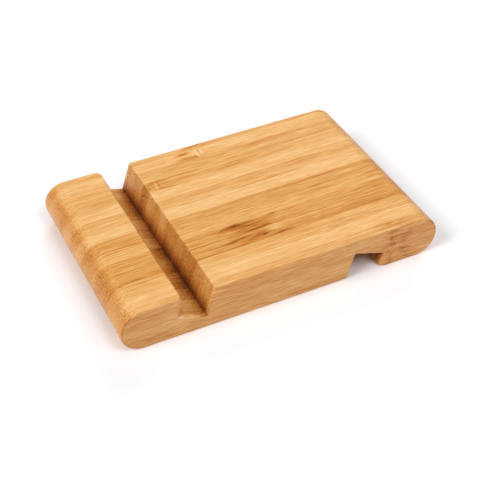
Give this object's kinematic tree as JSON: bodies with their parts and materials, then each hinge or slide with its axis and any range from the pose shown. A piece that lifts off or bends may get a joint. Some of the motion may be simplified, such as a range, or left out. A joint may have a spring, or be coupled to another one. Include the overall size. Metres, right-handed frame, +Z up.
{
  "type": "tablet stand",
  "caption": "Flat bamboo block with rounded ends and a leaning slot across the top that holds a phone or tablet upright, and a wider slot across the underside.",
  "frame": {"origin": "middle of the flat underside, on the surface the block rests on", "axes": "+X along the block from the front lip to the back, +Y across it to the left as seen from the lip, +Z up"},
  "size_m": [0.13, 0.084, 0.0175],
  "materials": {
    "bamboo_pale": "satin",
    "bamboo_honey": "satin",
    "bamboo_amber": "satin"
  },
  "bodies": {
    "root": {"edge_strip_right": "bamboo_honey", "core_strip_01": "bamboo_pale", "core_strip_02": "bamboo_honey", "core_strip_03": "bamboo_amber", "core_strip_04": "bamboo_amber", "core_strip_05": "bamboo_honey", "core_strip_06": "bamboo_amber", "core_strip_07": "bamboo_pale", "core_strip_08": "bamboo_honey", "core_strip_09": "bamboo_pale", "core_strip_10": "bamboo_honey", "core_strip_11": "bamboo_honey", "core_strip_12": "bamboo_pale", "edge_strip_left": "bamboo_honey"}
  },
  "joints": []
}
